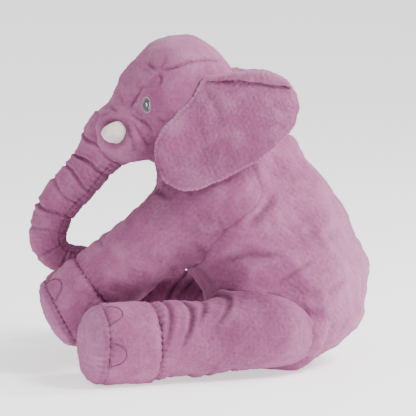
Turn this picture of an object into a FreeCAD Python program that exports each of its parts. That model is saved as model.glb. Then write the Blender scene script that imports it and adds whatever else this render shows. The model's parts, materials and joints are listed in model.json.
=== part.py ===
"""A seated stuffed elephant, half a metre tall, as an assembly of its covers, panels and stuffing.

Frame: +Z up, the elephant faces -Y and its left side is +X. The origin is on the floor, in the
middle of the flat seat. A leg or a length of trunk is drawn along its own +Z from the centre of its
seam, and its Placement aims it.
"""

import FreeCAD, Part
import math
import os

from FreeCAD import Placement, Rotation, Vector

FAR = 1000.0
SIDES = {"left": 1, "right": -1}

# how much thinner all round each layer of a stuffed form is than its outside
OUTER, INNER, CORE, GROWN = "0", "cloth", "( cloth + slack )", "( 0 - play )"

DIMS = {
    # cloth, and the gaps between a cover and its filling and between pieces that move
    "cloth": 3.0,
    "slack": 0.5,
    "play": 0.8,
    # torso: rump, waist and chest are three ellipsoids that run into each other
    "rump_wide": 134.0, "rump_deep": 127.0, "rump_tall": 122.0, "rump_y": 0.0, "rump_z": 112.0,
    "waist_wide": 120.0, "waist_deep": 140.0, "waist_tall": 110.0, "waist_y": -40.0, "waist_z": 200.0,
    "chest_wide": 90.0, "chest_deep": 115.0, "chest_tall": 95.0, "chest_y": -90.0, "chest_z": 290.0,
    "base_panel_radius": 48.0,
    # head: skull and muzzle, nodding about the neck
    "skull_wide": 95.0, "skull_deep": 88.0, "skull_tall": 98.0, "skull_y": -170.0, "skull_z": 408.0,
    "muzzle_wide": 58.0, "muzzle_deep": 48.0, "muzzle_tall": 52.0, "muzzle_y": -240.0, "muzzle_z": 362.0,
    "neck_y": -95.0, "neck_z": 350.0,
    # trunk: its root seam, the bend, the start of the curl, and the curled tip
    "trunk_y": -268.0, "trunk_z": 352.0, "trunk_root": 40.0,
    "bend_y": -323.0, "bend_z": 272.0, "trunk_bend": 33.0,
    "curl_y": -367.0, "curl_z": 187.0, "trunk_curl": 28.0,
    "curl_turn": 28.0, "curl_tube": 24.0, "tip_long": 34.0, "tip_end": 18.0,
    # ears: two panels over wadding, in a plane that hangs from the top of the ear's seam
    "ear_thick": 13.0, "ear_half": 6.5, "ear_x": 76.0, "ear_y": -133.0, "ear_z": 455.0,
    # eyes: stitched patches on the skull
    "eye_y": -215.0, "eye_z": 407.0, "eye_half_wide": 8.0, "eye_half_tall": 12.5,
    "eye_rim": 1.6, "eye_thick": 1.2,
    # tusks
    "tusk_x": 47.0, "tusk_y": -241.0, "tusk_z": 365.0, "tusk_base": 19.0, "tusk_long": 54.0,
    "tusk_cloth": 1.5,
    # front legs
    "front_x": 84.0, "front_y": -96.0, "front_z": 285.0, "front_root": 54.0, "front_ankle": 51.0,
    "front_foot": 56.0, "front_length": 322.0, "front_foot_long": 67.0,
    # hind legs
    "hind_x": 110.0, "hind_y": -15.0, "hind_z": 61.0, "hind_root": 58.0, "hind_ankle": 56.0,
    "hind_foot": 61.0, "hind_length": 290.0, "hind_foot_long": 74.0,
    # soles and toenail patches, the same on every foot
    "sole_bulge": 24.0, "nail_half_wide": 17.0, "nail_thick": 1.5, "nail_reach": 40.0,
}

# where the limbs point at rest, in degrees
FRONT_DROP = {"left": 38.0, "right": 44.0}
HIND_SPLAY = {"left": 18.0, "right": 21.0}
TUSK_OUT, TUSK_DROP = 32.0, 3.0
NAIL_ROLL, NAIL_STEP = 34.0, 62.0

# each ear leans outwards at its foot; the right one sits lower, turned down about the top of its seam
EAR_LEAN = {"left": 23.0, "right": 30.0}
EAR_LOWER = {"left": 0.0, "right": 10.0}
EAR_DROOP = {"left": 0.0, "right": 14.0}

# travel of the seams that need room in a neighbour, in degrees
NOD = (-4.0, 12.0)
TRUNK_ROOT, TRUNK_BEND, TRUNK_CURL = (-4.0, 20.0), (-4.0, 20.0), (-6.0, 25.0)
SHOULDER = {"left": (0.0, 12.0), "right": (0.0, 18.0)}
HIP = {"left": (-2.0, 25.0), "right": (-2.0, 25.0)}
FLAP = (0.0, 45.0)
SWEEP_STEP = 6.0

# the ear's outline in its own plane, from the top of its seam: ends and middles of five arcs
EAR_OUTLINE = [
    (0, 0), (62, 22), (124, 2), (143, -38), (130, -90),
    (92, -134), (38, -170), (-28, -182), (-74, -122), (-50, -64),
]
EAR_MIDDLE = Vector(35, -80, 0)

doc = FreeCAD.newDocument("stuffed_elephant")
pieces = []


def make_sheet():
    """The driving dimensions, one cell each, every cell named by its alias."""
    cells = doc.addObject("Spreadsheet::Sheet", "dims")
    for row, (alias, value) in enumerate(DIMS.items(), start=1):
        cells.set(f"A{row}", str(value))
        cells.setAlias(f"A{row}", alias)
    doc.recompute()
    return cells


sheet = make_sheet()


def dim(alias):
    return float(sheet.get(alias))


def bind(obj, formulas):
    """Ties properties to the sheet; in a formula, every dimension's name stands for its cell."""
    for prop, formula in formulas.items():
        words = [f"dims.{word}" if word in DIMS else word for word in formula.split()]
        obj.setExpression(prop, " ".join(words))


def primitive(kind, label, at=(), turn=Rotation(), **formulas):
    """A Part primitive whose sizes, and whose place if at gives one, follow the sheet."""
    obj = doc.addObject(f"Part::{kind}", label)
    obj.Placement = Placement(Vector(), turn)
    bind(obj, formulas)
    bind(obj, {f"Placement.Base.{axis}": formula for axis, formula in zip("xyz", at)})
    return obj


def ellipsoid(label, wide, deep, tall, at=()):
    return primitive("Ellipsoid", label, at, Radius2=wide, Radius3=deep, Radius1=tall)


def half_ellipsoid(label, wide, tall, at=()):
    """The upper half of an ellipsoid that is round about Z."""
    obj = ellipsoid(label, wide, wide, tall, at)
    obj.Angle1 = 0
    return obj


def box(label, low, high):
    obj = doc.addObject("Part::Box", label)
    obj.Length, obj.Width, obj.Height = (b - a for a, b in zip(low, high))
    obj.Placement = Placement(Vector(*low), Rotation())
    return obj


def fuse(label, *items):
    obj = doc.addObject("Part::MultiFuse", label)
    obj.Shapes = list(items)
    return obj


def common(label, *items):
    obj = doc.addObject("Part::MultiCommon", label)
    obj.Shapes = list(items)
    return obj


def cut(label, base, tool):
    obj = doc.addObject("Part::Cut", label)
    obj.Base, obj.Tool = base, tool
    return obj


def keep(obj, placement=None):
    """Lists obj as one of the toy's pieces; its label names its file."""
    if placement is not None:
        obj.Placement = placement
    pieces.append(obj)


def keep_shape(label, shape):
    """A piece whose shape is a cut over a whole travel, without the crumbs that such a cut leaves."""
    obj = doc.addObject("Part::Feature", label)
    obj.Shape = max(shape.Solids, key=lambda solid: solid.Volume)
    pieces.append(obj)


def aimed(base, direction, up):
    """A placement whose Z runs along direction and whose X is as near as can be to up."""
    return Placement(base, Rotation(up, Vector(), direction, "ZXY"))


def swept(shape, pivot, axis, travel):
    """Copies of a shape turned in small steps over its travel and a degree past each end."""
    low, high = travel[0] - 1, travel[1] + 1
    steps = math.ceil((high - low) / SWEEP_STEP)
    copies = []
    for i in range(steps + 1):
        copy = shape.copy()
        copy.rotate(pivot, axis, low + (high - low) * i / steps)
        copies.append(copy)
    return copies


def say_axis(name, point, direction):
    """Prints a slanting seam's place and direction, which its joint repeats."""
    unit = Vector(direction).normalize()
    print(f"{name}: at {[round(v, 2) for v in point]} mm, along {[round(v, 4) for v in unit]}")


def cleared(shape, room):
    """A shape with each of the solids in room cut out of it, one at a time."""
    for solid in room:
        shape = shape.cut(solid)
    return shape


# ---------------------------------------------------------------- legs


def leg_blank(name, kind, less):
    """The leg down to its ankle seam: a ball in the body's seam and a cone, thinner by a formula."""
    ball = primitive("Sphere", name + "_ball", Radius=f"{kind}_root - {less}")
    cone = primitive("Cone", name + "_cone", Radius1=f"{kind}_root - {less}",
                     Radius2=f"{kind}_ankle - {less}", Height=f"{kind}_length - {kind}_foot_long")
    return fuse(name, ball, cone)


def leg(kind, side, place):
    """A leg's cover, foot cover, sole, toenails and stuffing. Returns the room it takes up at its seam."""
    name = f"{kind}_{side}"
    foot, length, foot_long = f"{kind}_foot", f"{kind}_length", f"{kind}_foot_long"
    ankle = f"{length} - {foot_long}"

    keep(cut(f"{kind}_leg_{side}_cover", leg_blank(name + "_outer", kind, OUTER),
             leg_blank(name + "_inner", kind, INNER)), place)

    drum = primitive("Cylinder", name + "_drum", ("0", "0", ankle), Radius=foot, Height=foot_long)
    hollow = primitive("Cylinder", name + "_hollow", ("0", "0", f"{ankle} + cloth"),
                       Radius=f"{foot} - cloth", Height=foot_long)
    mouth = primitive("Cylinder", name + "_mouth", ("0", "0", f"{ankle} - cloth"),
                      Radius=f"{kind}_ankle - cloth", Height="3 * cloth")
    keep(cut(f"{kind}_foot_{side}_cover", drum, fuse(name + "_foot_room", hollow, mouth)), place)

    dome = half_ellipsoid(name + "_dome", foot, "sole_bulge", ("0", "0", length))
    dome_room = half_ellipsoid(name + "_dome_room", f"{foot} - cloth", "sole_bulge - cloth",
                               ("0", "0", length))
    keep(cut(f"{kind}_sole_{side}", dome, dome_room), place)

    keep(toenails(kind, side, foot, length), place)

    core = primitive("Cylinder", name + "_core", ("0", "0", f"{ankle} + cloth + slack"),
                     Radius=f"{foot} - cloth - slack", Height=f"{foot_long} - cloth - slack")
    neck = primitive("Cylinder", name + "_neck", ("0", "0", f"{ankle} - cloth"),
                     Radius=f"{kind}_ankle - cloth - slack", Height="3 * cloth")
    core_dome = half_ellipsoid(name + "_core_dome", f"{foot} - cloth - slack", "sole_bulge - cloth - slack",
                               ("0", "0", length))
    keep(fuse(f"{kind}_leg_{side}_stuffing", leg_blank(name + "_core_leg", kind, CORE),
              neck, core, core_dome), place)

    ball = Part.makeSphere(dim(f"{kind}_root") + dim("play"), place.Base)
    cone = Part.makeCone(dim(f"{kind}_root") + dim("play"), dim(f"{kind}_ankle") + dim("play"),
                         dim(length) - dim(foot_long))
    cone.Placement = place
    return ball, cone


def toenails(kind, side, foot, length):
    """Three half-round patches on the foot, their straight sides on the sole's seam."""
    name = f"{kind}_{side}_nail"
    skin = primitive("Cylinder", name + "_skin", ("0", "0", f"{length} - nail_reach"),
                     Radius=f"{foot} + nail_thick", Height="nail_reach")
    inside = primitive("Cylinder", name + "_inside", ("0", "0", f"{length} - 2 * nail_reach"),
                       Radius=foot, Height="3 * nail_reach")
    cutters = []
    for i, angle in enumerate((-NAIL_STEP, 0.0, NAIL_STEP)):
        turn = Rotation(Vector(0, 0, 1), angle) * Rotation(Vector(0, 1, 0), 90)
        cutters.append(primitive("Cylinder", f"{name}_{i}", ("0", "0", length), turn,
                                 Radius="nail_half_wide", Height=f"{foot} + nail_reach"))
    ring = cut(name + "_ring", skin, inside)
    return common(f"{kind}_toenails_{side}", ring, fuse(name + "_cutters", *cutters))


def front_leg_place(side):
    """The front legs reach forward and down, their toenails turned up and outwards."""
    drop, roll = math.radians(FRONT_DROP[side]), math.radians(NAIL_ROLL)
    direction = Vector(0, -math.cos(drop), -math.sin(drop))
    top = Vector(0, -math.sin(drop), math.cos(drop))
    up = top * math.cos(roll) + Vector(SIDES[side], 0, 0) * math.sin(roll)
    return aimed(Vector(SIDES[side] * dim("front_x"), dim("front_y"), dim("front_z")), direction, up)


def hind_leg_place(side):
    """The hind legs lie level on the floor, spread to the side, their toenails turned up and outwards."""
    splay, roll = math.radians(HIND_SPLAY[side]), math.radians(NAIL_ROLL)
    direction = Vector(SIDES[side] * math.sin(splay), -math.cos(splay), 0)
    outside = Vector(SIDES[side] * math.cos(splay), math.sin(splay), 0)
    up = Vector(0, 0, math.cos(roll)) + outside * math.sin(roll)
    return aimed(Vector(SIDES[side] * dim("hind_x"), dim("hind_y"), dim("hind_z")), direction, up)


# ---------------------------------------------------------------- trunk


def seam_point(name):
    return Vector(0, dim(name + "_y"), dim(name + "_z"))


def trunk_length(name, top, root, bottom, end, travel):
    """One straight length of trunk, stopping short of the ball of the next one and hollowed to clear it."""
    run = seam_point(bottom).sub(seam_point(top))
    place = aimed(seam_point(top), run, Vector(1, 0, 0))
    span = run.Length - dim(end) * math.sin(math.radians(travel[1] + 2)) - dim("play")
    layers = []
    for layer, less in (("outer", OUTER), ("inner", INNER), ("core", CORE)):
        ball = primitive("Sphere", f"{name}_{layer}_ball", Radius=f"{root} - {less}")
        cone = primitive("Cone", f"{name}_{layer}_cone", Radius1=f"{root} - {less}",
                         Radius2=f"{end} - {less}")
        cone.Height = span
        layers.append(fuse(f"{name}_{layer}", ball, cone))
    outer, inner, core = layers
    socket = primitive("Sphere", f"{name}_socket", Radius=f"{end} + play")
    socket.Placement = Placement(Vector(0, 0, run.Length), Rotation())
    keep(cut(f"{name}_cover", cut(f"{name}_shell", outer, inner), socket), place)
    keep(cut(f"{name}_stuffing", core, socket), place)
    ball = Part.makeSphere(dim(root) + dim("play"), place.Base)
    cone = Part.makeCone(dim(root) + dim("play"), dim(end) + dim("play"), span)
    cone.Placement = place
    return ball, cone


def trunk_tip():
    """The curled end: a ball, a quarter turn and a short taper, closed by a round patch."""
    bottom = ("0", "curl_y + curl_turn", "curl_z - curl_turn")
    quarter = Rotation(Vector(0, -1, 0), Vector(0, 0, -1), Vector(1, 0, 0), "XYZ")
    backwards = Rotation(Vector(1, 0, 0), -90)
    layers = []
    for layer, less in (("outer", OUTER), ("inner", INNER), ("core", CORE)):
        ball = primitive("Sphere", f"tip_{layer}_ball", ("0", "curl_y", "curl_z"),
                         Radius=f"trunk_curl - {less}")
        turn = primitive("Torus", f"tip_{layer}_turn", ("0", "curl_y + curl_turn", "curl_z"), quarter,
                         Radius1="curl_turn", Radius2=f"curl_tube - {less}")
        turn.Angle3 = 90
        taper = primitive("Cone", f"tip_{layer}_taper", bottom, backwards, Radius1=f"curl_tube - {less}",
                          Radius2=f"tip_end - {less}", Height="tip_long")
        name = "trunk_tip_stuffing" if layer == "core" else f"tip_{layer}"
        layers.append(fuse(name, ball, turn, taper))
    outer, inner, core = layers
    keep(cut("trunk_tip_cover", outer, inner))
    keep(core)
    end = ("0", "curl_y + curl_turn + tip_long", "curl_z - curl_turn")
    keep(primitive("Cylinder", "trunk_end_patch", end, backwards, Radius="tip_end", Height="cloth"))


# ---------------------------------------------------------------- ears


def ear_outline(inset):
    """The five arcs of an ear's edge, drawn in towards its middle by inset."""
    points = []
    for x, y in EAR_OUTLINE + EAR_OUTLINE[:1]:
        out = Vector(x, y, 0).sub(EAR_MIDDLE)
        points.append(EAR_MIDDLE.add(out.multiply(1 - inset / out.Length)))
    return [Part.Arc(*points[i:i + 3]) for i in range(0, len(points) - 1, 2)]


def ear_sketch(body, label, inset, height):
    sketch = body.newObject("Sketcher::SketchObject", label)
    plane = next(feature for feature in body.Origin.OriginFeatures if feature.Role == "XY_Plane")
    sketch.AttachmentSupport = [(plane, "")]
    sketch.MapMode = "FlatFace"
    bind(sketch, {"AttachmentOffset.Base.z": height})
    sketch.addGeometry(ear_outline(inset), False)
    return sketch


def ear_pad(label, inset, low, thick):
    """A body padded from the ear's outline between two heights above the ear's own plane."""
    body = doc.addObject("PartDesign::Body", label)
    pad = body.newObject("PartDesign::Pad", label + "_pad")
    pad.Profile = ear_sketch(body, label + "_edge", inset, low)
    bind(pad, {"Length": thick})
    return body


def ear_panel(label, low, opens_up):
    """A panel with a raised edge all round, by which it is sewn to the other panel."""
    body = ear_pad(label, 0.0, low, "ear_half")
    pocket = body.newObject("PartDesign::Pocket", label + "_room")
    pocket.Profile = ear_sketch(body, label + "_inside", dim("cloth"), "ear_half")
    bind(pocket, {"Length": "ear_half - cloth"})
    pocket.Reversed = not opens_up
    return body


def ear_place(side):
    """The ear's own x runs back, its y up, and its z to the elephant's left."""
    lean, droop = math.radians(EAR_LEAN[side]), math.radians(EAR_DROOP[side])
    upright = Vector(-SIDES[side] * math.sin(lean), 0, math.cos(lean))
    out = Vector(0, 1, 0).cross(upright)
    back = Vector(0, math.cos(droop), 0).sub(upright * math.sin(droop))
    base = Vector(SIDES[side] * dim("ear_x"), dim("ear_y"), dim("ear_z") - EAR_LOWER[side])
    if SIDES[side] < 0:
        base = base.sub(out * dim("ear_thick"))
    return Placement(base, Rotation(back, out.cross(back), out, "XYZ"))


def ear(side, skull):
    """Two panels and the wadding between them, trimmed to the skull over the whole flap of the ear."""
    place = ear_place(side)
    low_name, high_name = ("back", "front") if SIDES[side] > 0 else ("front", "back")
    layers = {
        f"ear_{side}_{low_name}_panel": ear_panel(f"ear_{side}_low", "0", True),
        f"ear_{side}_{high_name}_panel": ear_panel(f"ear_{side}_high", "ear_half", False),
        f"ear_{side}_wadding": ear_pad(f"ear_{side}_middle", dim("cloth") + dim("slack"), "cloth + slack",
                                       "ear_thick - 2 * cloth - 2 * slack"),
    }
    doc.recompute()
    outer_face = dim("ear_thick") if SIDES[side] > 0 else 0.0
    pivot = place.multVec(Vector(0, 0, outer_face))
    along = place.Rotation.multVec(Vector(*EAR_OUTLINE[-1], 0)) * SIDES[side]
    trim = swept(skull, pivot, along, (-FLAP[1], -FLAP[0]))
    say_axis(f"ear_flap_{side}", pivot, along)
    for label, body in layers.items():
        shape = body.Shape.copy()
        shape.Placement = place
        keep_shape(label, cleared(shape, trim))


# ---------------------------------------------------------------- head


def head_blank(name, less):
    parts = []
    for part in ("skull", "muzzle"):
        parts.append(ellipsoid(f"{name}_{part}", f"{part}_wide - {less}", f"{part}_deep - {less}",
                               f"{part}_tall - {less}", ("0", f"{part}_y", f"{part}_z")))
    return fuse(name, *parts)


def oval_rod(label, half_wide, half_tall, side):
    """An oval bar along X through the eye, from the middle of the head out past its side."""
    oval = primitive("Ellipse", label + "_oval", ("0", "eye_y", "eye_z"),
                     Rotation(Vector(0, 0, 1), Vector(), Vector(SIDES[side], 0, 0), "ZXY"),
                     MajorRadius=half_tall, MinorRadius=half_wide)
    rod = doc.addObject("Part::Extrusion", label)
    rod.Base = oval
    rod.DirMode = "Custom"
    rod.Dir = Vector(SIDES[side], 0, 0)
    rod.LengthFwd = FAR
    rod.Solid = True
    return rod


def eye(side):
    """A pale stitched rim and a dark iris inside it, each a thin patch on the skull."""
    name = f"eye_{side}"
    at = ("0", "skull_y", "skull_z")
    over = ellipsoid(name + "_over", "skull_wide + eye_thick", "skull_deep + eye_thick",
                     "skull_tall + eye_thick", at)
    under = ellipsoid(name + "_under", "skull_wide", "skull_deep", "skull_tall", at)
    whole = oval_rod(name + "_whole", "eye_half_wide", "eye_half_tall", side)
    iris = oval_rod(name + "_disc", "eye_half_wide - eye_rim", "eye_half_tall - eye_rim", side)
    for label, rod in ((name + "_rim", cut(name + "_ring", whole, iris)), (name + "_iris", iris)):
        keep(cut(label, common(label + "_plug", over, rod), under))


def tusk(side, head):
    """A blunt half-egg that stands on the muzzle, in its own cover with its own stuffing."""
    out, drop = math.radians(TUSK_OUT), math.radians(TUSK_DROP)
    direction = Vector(SIDES[side] * math.sin(out), -math.cos(out), -math.sin(drop))
    base = Vector(SIDES[side] * dim("tusk_x"), dim("tusk_y"), dim("tusk_z"))
    layers = []
    for layer, less in (("outer", OUTER), ("inner", "tusk_cloth"), ("core", "( tusk_cloth + slack )")):
        egg = half_ellipsoid(f"tusk_{side}_{layer}", f"tusk_base - {less}", f"tusk_long - {less}")
        egg.Placement = aimed(base, direction, Vector(0, 0, 1))
        layers.append(egg)
    outer, inner, core = layers
    keep(cut(f"tusk_{side}_cover", cut(f"tusk_{side}_shell", outer, inner), head))
    keep(cut(f"tusk_{side}_stuffing", core, head))


# ---------------------------------------------------------------- torso


def torso_blank(name, less, floor):
    """The torso's three ellipsoids, thinner by a formula and cut flat at a height above the floor."""
    parts = []
    for part in ("rump", "waist", "chest"):
        parts.append(ellipsoid(f"{name}_{part}", f"{part}_wide - {less}", f"{part}_deep - {less}",
                               f"{part}_tall - {less}", ("0", f"{part}_y", f"{part}_z")))
    above = box(name + "_floor", (-FAR, -FAR, floor), (FAR, FAR, FAR))
    return common(name, fuse(name + "_blobs", *parts), above)


# ---------------------------------------------------------------- build

lift = Vector(-1, 0, 0)
room_in_torso = []
for side, across in SIDES.items():
    front, hind = front_leg_place(side), hind_leg_place(side)
    ball, cone = leg("front", side, front)
    room_in_torso += [ball] + swept(cone, front.Base, lift, SHOULDER[side])
    ball, cone = leg("hind", side, hind)
    room_in_torso += [ball] + swept(cone, hind.Base, Vector(0, 0, across), HIP[side])

ball, cone = trunk_length("trunk_upper", "trunk", "trunk_root", "bend", "trunk_bend", TRUNK_BEND)
room_in_head = [ball] + swept(cone, seam_point("trunk"), lift, TRUNK_ROOT)
trunk_length("trunk_middle", "bend", "trunk_bend", "curl", "trunk_curl", TRUNK_CURL)
trunk_tip()

head_outer, head_inner = head_blank("head_outer", OUTER), head_blank("head_inner", INNER)
head_core, head_grown = head_blank("head_core", CORE), head_blank("head_grown", GROWN)
torso_outer = torso_blank("torso_outer", OUTER, 0)
torso_inner = torso_blank("torso_inner", INNER, dim("cloth"))
torso_core = torso_blank("torso_core", CORE, dim("cloth") + dim("slack"))
for side in SIDES:
    eye(side)
    tusk(side, head_outer)
doc.recompute()

skull_grown = doc.getObject("head_grown_skull").Shape
for side in SIDES:
    ear(side, skull_grown)

halves = {}
for side, across in SIDES.items():
    low, high = sorted((0.0, across * FAR))
    halves[side] = Part.makeBox(high - low, 2 * FAR, 2 * FAR, Vector(low, -FAR, -FAR))

head_shell = cleared(head_outer.Shape.cut(head_inner.Shape), room_in_head)
for side in SIDES:
    keep_shape(f"head_cover_{side}", head_shell.common(halves[side]))
keep_shape("head_stuffing", cleared(head_core.Shape, room_in_head))

for part in ("skull", "muzzle"):
    room_in_torso += swept(doc.getObject(f"head_grown_{part}").Shape, seam_point("neck"), lift, NOD)
torso_shell = cleared(torso_outer.Shape.cut(torso_inner.Shape), room_in_torso)
base_disc = Part.makeCylinder(dim("base_panel_radius"), dim("base_panel_radius"))
keep_shape("base_panel", torso_shell.common(base_disc))
torso_sides = torso_shell.cut(base_disc)
for side in SIDES:
    keep_shape(f"torso_cover_{side}", torso_sides.common(halves[side]))
keep_shape("torso_stuffing", cleared(torso_core.Shape, room_in_torso))
doc.recompute()

for obj in doc.Objects:
    if {"Invalid", "Error"} & set(obj.State):
        raise RuntimeError(f"{obj.Label} failed: {obj.State}")
for obj in pieces:
    if obj.Shape.isNull() or not obj.Shape.isValid():
        raise RuntimeError(f"{obj.Label} has no valid shape")

os.makedirs("parts", exist_ok=True)
for obj in pieces:
    obj.Shape.exportStep(f"parts/{obj.Label}.step")
    print(f"{obj.Label}: {len(obj.Shape.Solids)} solid(s), {obj.Shape.Volume / 1000:.1f} cm3")
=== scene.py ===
import json
import math

import bmesh
import bpy
import numpy as np
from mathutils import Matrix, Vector
from mathutils.bvhtree import BVHTree


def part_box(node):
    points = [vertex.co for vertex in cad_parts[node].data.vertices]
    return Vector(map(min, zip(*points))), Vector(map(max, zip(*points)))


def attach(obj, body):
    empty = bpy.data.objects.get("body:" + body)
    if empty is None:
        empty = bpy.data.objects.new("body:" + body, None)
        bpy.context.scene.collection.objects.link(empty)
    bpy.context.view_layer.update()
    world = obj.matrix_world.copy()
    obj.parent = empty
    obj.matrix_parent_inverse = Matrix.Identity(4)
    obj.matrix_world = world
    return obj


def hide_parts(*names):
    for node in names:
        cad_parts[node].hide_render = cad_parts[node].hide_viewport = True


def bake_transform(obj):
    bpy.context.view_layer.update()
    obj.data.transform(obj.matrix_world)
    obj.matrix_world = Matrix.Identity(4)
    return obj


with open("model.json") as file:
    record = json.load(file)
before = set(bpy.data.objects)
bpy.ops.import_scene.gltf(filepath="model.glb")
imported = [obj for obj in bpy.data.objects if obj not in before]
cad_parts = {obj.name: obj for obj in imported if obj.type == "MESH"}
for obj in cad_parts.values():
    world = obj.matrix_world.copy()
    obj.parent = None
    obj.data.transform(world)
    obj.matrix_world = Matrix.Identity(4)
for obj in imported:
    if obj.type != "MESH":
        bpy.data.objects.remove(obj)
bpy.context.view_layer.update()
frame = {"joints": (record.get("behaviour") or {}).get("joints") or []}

# The looks of a seated plush elephant. Points and sizes are in millimetres in the row frame (+Z up, the
# elephant faces -Y, its left side is +X); make_piece writes them in metres.

MM = 0.001
STEP = 4.2              # spacing of a cover's vertices before it is subdivided
LEFT, RIGHT = 1, -1
SIDE_NAME = {LEFT: "left", RIGHT: "right"}
JOINTS = {joint["name"]: joint for joint in frame["joints"]}


# ---------------------------------------------------------------- small geometry


def unit(vector):
    vector = np.asarray(vector, float)
    return vector / np.linalg.norm(vector)


def seam_centre(joint):
    return np.array(JOINTS[joint]["pos_m"]) / MM


def box_centre(node):
    low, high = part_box(node)
    return np.array((low + high) / 2) / MM


def smooth_path(points, step=STEP, closed=False):
    """A Catmull-Rom curve through points of any dimension, resampled to even steps."""
    points = np.asarray(points, float)
    if closed:
        ring = np.vstack([points[-1:], points, points[:2]])
    else:
        ring = np.vstack([2 * points[0] - points[1], points, 2 * points[-1] - points[-2]])
    samples = []
    for a, b, c, d in zip(ring, ring[1:], ring[2:], ring[3:]):
        for t in np.linspace(0, 1, 24, endpoint=False):
            samples.append(0.5 * (2 * b + (c - a) * t + (2 * a - 5 * b + 4 * c - d) * t ** 2
                                  + (3 * b - a - 3 * c + d) * t ** 3))
    samples.append(points[0] if closed else points[-1])
    samples = np.array(samples)
    length = np.concatenate([[0], np.cumsum(np.linalg.norm(np.diff(samples, axis=0), axis=1))])
    count = max(3, int(round(length[-1] / step)) + 1)
    even = np.linspace(0, length[-1], count)
    return np.column_stack([np.interp(even, length, column) for column in samples.T])


def waves(points, wavelength, seed, count=20):
    """Smooth noise of about unit size at one wavelength: a sum of plane waves in seeded directions."""
    rng = np.random.default_rng(seed)
    total = np.zeros(len(points))
    for _ in range(count):
        direction = unit(rng.normal(size=3)) * 2 * math.pi / (wavelength * rng.uniform(0.75, 1.35))
        total += np.sin(points @ direction + rng.uniform(0, 2 * math.pi))
    return total * math.sqrt(2 / count)


def fade(value, low, high):
    """0 below low, 1 above high, and smooth between."""
    t = np.clip((value - low) / (high - low), 0, 1)
    return t * t * (3 - 2 * t)


def wrap(angle):
    return (angle + math.pi) % (2 * math.pi) - math.pi


class Place:
    """A local frame: origin, and rows x, y, z as unit vectors of the row frame."""

    def __init__(self, origin, along, towards):
        self.origin = np.asarray(origin, float)
        z = unit(along)
        x = unit(np.asarray(towards, float) - z * np.dot(towards, z))
        self.axes = np.array([x, np.cross(z, x), z])

    def out(self, local):
        return np.asarray(local, float) @ self.axes + self.origin

    def into(self, points):
        return (np.asarray(points, float) - self.origin) @ self.axes.T


# ---------------------------------------------------------------- meshes


def round_angles(count):
    return np.arange(count) * 2 * math.pi / count


def ring_faces(rings, around):
    """Quads between rings of vertices, and fans to the two poles that follow them."""
    faces = []
    for i in range(rings - 1):
        for j in range(around):
            k = (j + 1) % around
            faces.append((i * around + j, i * around + k, (i + 1) * around + k, (i + 1) * around + j))
    first, last = rings * around, rings * around + 1
    top = (rings - 1) * around
    for j in range(around):
        k = (j + 1) % around
        faces.append((first, k, j))
        faces.append((last, top + j, top + k))
    return faces


def lathe(profile, place, step=STEP, around=None):
    """A closed surface turned about place's Z through (along, radius) points, from pole to pole."""
    line = smooth_path(profile, step)
    start, end = line[0, 0], line[-1, 0]
    line = line[1:-1]
    line[:, 1] = np.maximum(line[:, 1], 0.3)
    around = around or max(12, int(round(2 * math.pi * line[:, 1].max() / step / 4)) * 4)
    angles = round_angles(around)
    rings = [np.column_stack([r * np.cos(angles), r * np.sin(angles), np.full(around, z)]) for z, r in line]
    points = np.vstack(rings + [np.array([[0, 0, start], [0, 0, end]])])
    return place.out(points), ring_faces(len(line), around)


def ball_directions(divisions):
    """An evenly divided sphere, as unit vectors and triangles."""
    bpy.ops.mesh.primitive_ico_sphere_add(subdivisions=divisions, radius=1)
    sphere = bpy.context.object
    points = np.array([v.co for v in sphere.data.vertices])
    faces = [tuple(p.vertices) for p in sphere.data.polygons]
    bpy.data.objects.remove(sphere)
    return points / np.linalg.norm(points, axis=1)[:, None], faces


def blob(ellipsoids, centre, divisions, softness):
    """One skin round several ellipsoids that melt together, as seen from a centre inside it."""
    directions, faces = ball_directions(divisions)

    def depth(points):
        total = np.zeros(len(points))
        for middle, radii in ellipsoids:
            radii = np.asarray(radii, float)
            reach = np.linalg.norm((points - np.asarray(middle)) / radii, axis=1)
            total += np.exp((1 - reach) * radii.min() / softness)
        return np.log(total)

    near, far = np.zeros(len(directions)), np.full(len(directions), 220.0)
    for _ in range(26):
        middle = (near + far) / 2
        inside = depth(centre + directions * middle[:, None]) > 0
        near, far = np.where(inside, middle, near), np.where(inside, far, middle)
    return centre + directions * near[:, None], faces


def make_piece(name, points, faces):
    mesh = bpy.data.meshes.new(name)
    mesh.from_pydata((np.asarray(points) * MM).tolist(), [], faces)
    mesh.validate()
    build = bmesh.new()
    build.from_mesh(mesh)
    bmesh.ops.recalc_face_normals(build, faces=build.faces)
    build.to_mesh(mesh)
    build.free()
    piece = bpy.data.objects.new(name, mesh)
    bpy.context.scene.collection.objects.link(piece)
    return piece


def vectors_of(items, key):
    values = np.empty(len(items) * 3, np.float32)
    items.foreach_get(key, values)
    return values.reshape(-1, 3).astype(float)


def points_of(piece):
    return vectors_of(piece.data.vertices, "co") / MM


def set_points(piece, points):
    piece.data.vertices.foreach_set("co", (points * MM).astype(np.float32).ravel())
    piece.data.update()


def baked(piece):
    """Replaces a piece's mesh by what its modifiers make of it."""
    depsgraph = bpy.context.evaluated_depsgraph_get()
    mesh = bpy.data.meshes.new_from_object(piece.evaluated_get(depsgraph))
    piece.modifiers.clear()
    old = piece.data
    piece.data = mesh
    bpy.data.meshes.remove(old)


def subdivide(piece):
    modifier = piece.modifiers.new("smooth", "SUBSURF")
    modifier.levels = modifier.render_levels = 1
    baked(piece)


def tree_of(piece):
    mesh = piece.data
    points, faces = [v.co / MM for v in mesh.vertices], [tuple(p.vertices) for p in mesh.polygons]
    return BVHTree.FromPolygons(points, faces)


def onto(tree, origin, direction):
    """Where a ray meets a surface, and the surface's normal there."""
    hit, normal, _, _ = tree.ray_cast(Vector(origin), Vector(direction))
    if hit is None:
        hit, normal, _, _ = tree.find_nearest(Vector(origin))
    return np.array(hit), np.array(normal)


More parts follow.
